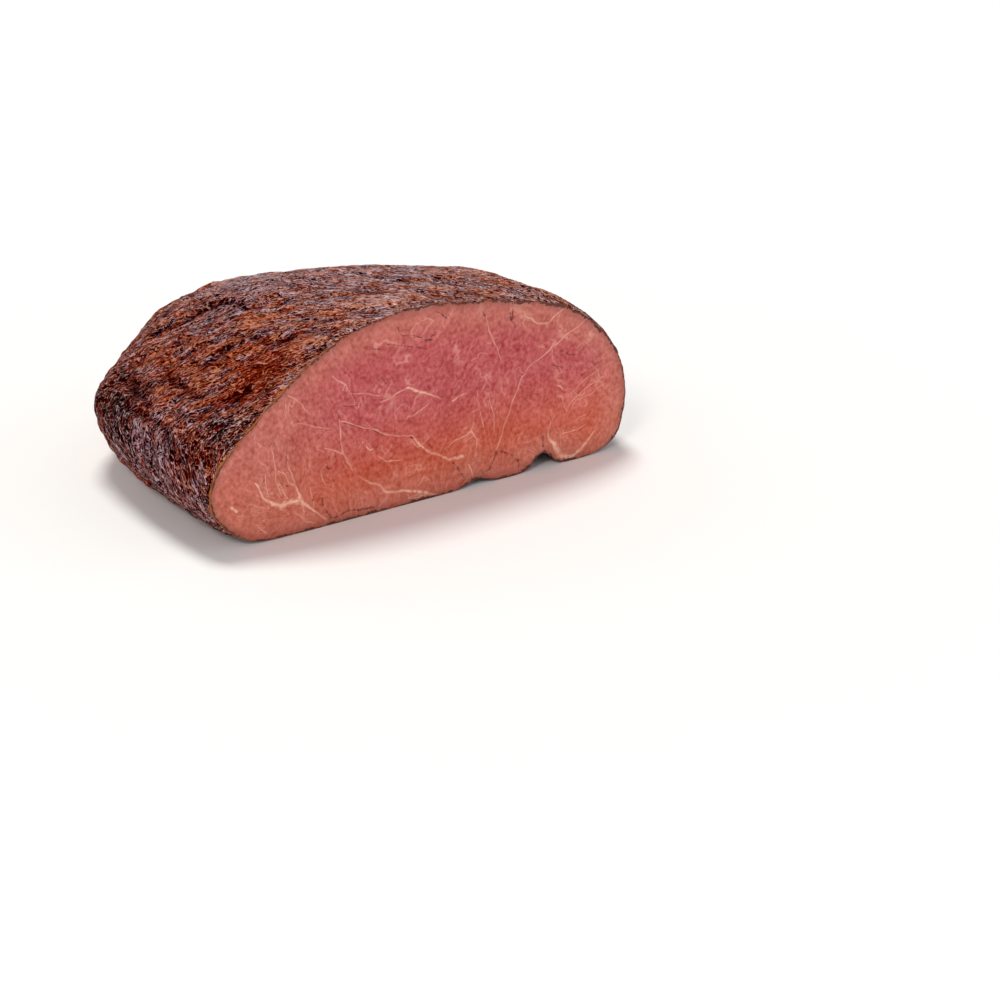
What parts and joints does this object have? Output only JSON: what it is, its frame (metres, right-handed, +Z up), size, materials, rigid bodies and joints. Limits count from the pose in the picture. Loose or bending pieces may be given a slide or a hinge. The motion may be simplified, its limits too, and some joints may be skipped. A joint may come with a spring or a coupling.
{
  "type": "smoked roast beef",
  "caption": "Half of a large boneless smoked beef joint: one solid with a wrinkled browned crust, a flat upright cut face and a flat underside to rest on.",
  "frame": {"origin": "bottom centre of the bounding box, on the surface that the joint rests on", "axes": "+Z up; +X across the cut face, the longest side; +Y from the cut face back to the far end, so the cut face looks along -Y"},
  "size_m": [0.3112, 0.2158, 0.1114],
  "materials": {
    "roast": "glossy browned crust, wrinkled; moist pink meat with cream marbling on the cut face"
  },
  "bodies": {
    "root": {"roast_beef": "roast"}
  },
  "joints": []
}
